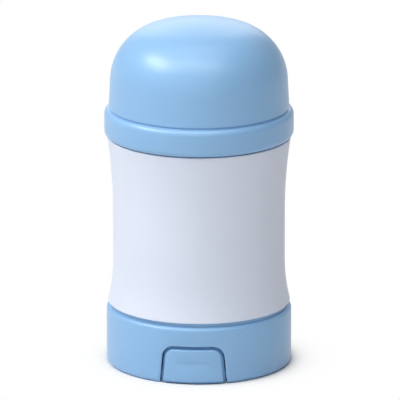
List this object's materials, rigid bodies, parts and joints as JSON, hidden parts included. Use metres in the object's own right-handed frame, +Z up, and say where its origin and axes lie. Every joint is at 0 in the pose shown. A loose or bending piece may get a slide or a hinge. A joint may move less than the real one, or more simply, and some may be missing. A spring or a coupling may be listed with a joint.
{
  "type": "deodorant stick",
  "caption": "Refillable twist-up deodorant stick: domed lift-off cap, waisted sleeve, base ring with squeeze tabs, and a refill with feed screw and thumb dial.",
  "frame": {"origin": "centre of the base ring's underside, on the stick's axis", "axes": "+Z up along the stick's axis, -Y towards the front release tab"},
  "size_m": [0.0508, 0.0508, 0.0942],
  "materials": {
    "blue_plastic": "satin moulded plastic",
    "white_plastic": "satin moulded plastic",
    "inner_plastic": "natural white moulded plastic",
    "product": "smooth waxy solid",
    "steel": "bright drawn wire"
  },
  "bodies": {
    "case": {"body_sleeve": "white_plastic", "neck_collar": "inner_plastic", "base_ring": "blue_plastic", "chassis": "inner_plastic", "refill_barrel": "inner_plastic", "tab_pin_front": "steel", "tab_pin_back": "steel", "tab_spring_front": "steel", "tab_spring_back": "steel"},
    "cap": {"cap_shell": "blue_plastic", "cap_liner": "inner_plastic"},
    "front_tab": {"release_tab_front": "blue_plastic"},
    "back_tab": {"release_tab_back": "blue_plastic"},
    "drive": {"spindle": "inner_plastic", "dial": "blue_plastic", "dial_clip": "steel"},
    "lift": {"carrier": "inner_plastic", "deodorant": "product"}
  },
  "joints": [
    {"name": "cap_lift", "type": "slide", "parent": "case", "child": "cap", "axis": [0, 0, 1], "range_m": [0, 0.045]},
    {"name": "dial_turn", "type": "hinge", "parent": "case", "child": "drive", "pos_m": [0, 0, 0.0025], "axis": [0, 0, 1], "range_deg": [-900, 900]},
    {"name": "product_rise", "type": "slide", "parent": "case", "child": "lift", "axis": [0, 0, 1], "range_m": [-0.0175, 0.0175]},
    {"name": "front_tab_press", "type": "hinge", "parent": "case", "child": "front_tab", "pos_m": [0, -0.0203, 0.0026], "axis": [-1, 0, 0], "range_deg": [0, 8], "stiffness_Nm_per_rad": 0.02, "springref_deg": -8.59, "deforming": ["tab_spring_front"]},
    {"name": "back_tab_press", "type": "hinge", "parent": "case", "child": "back_tab", "pos_m": [0, 0.0203, 0.0026], "axis": [1, 0, 0], "range_deg": [0, 8], "stiffness_Nm_per_rad": 0.02, "springref_deg": -8.59, "deforming": ["tab_spring_back"]}
  ],
  "couplings": [
    {"joint": "dial_turn", "follows": "product_rise", "rad_per_m": 897.59}
  ]
}
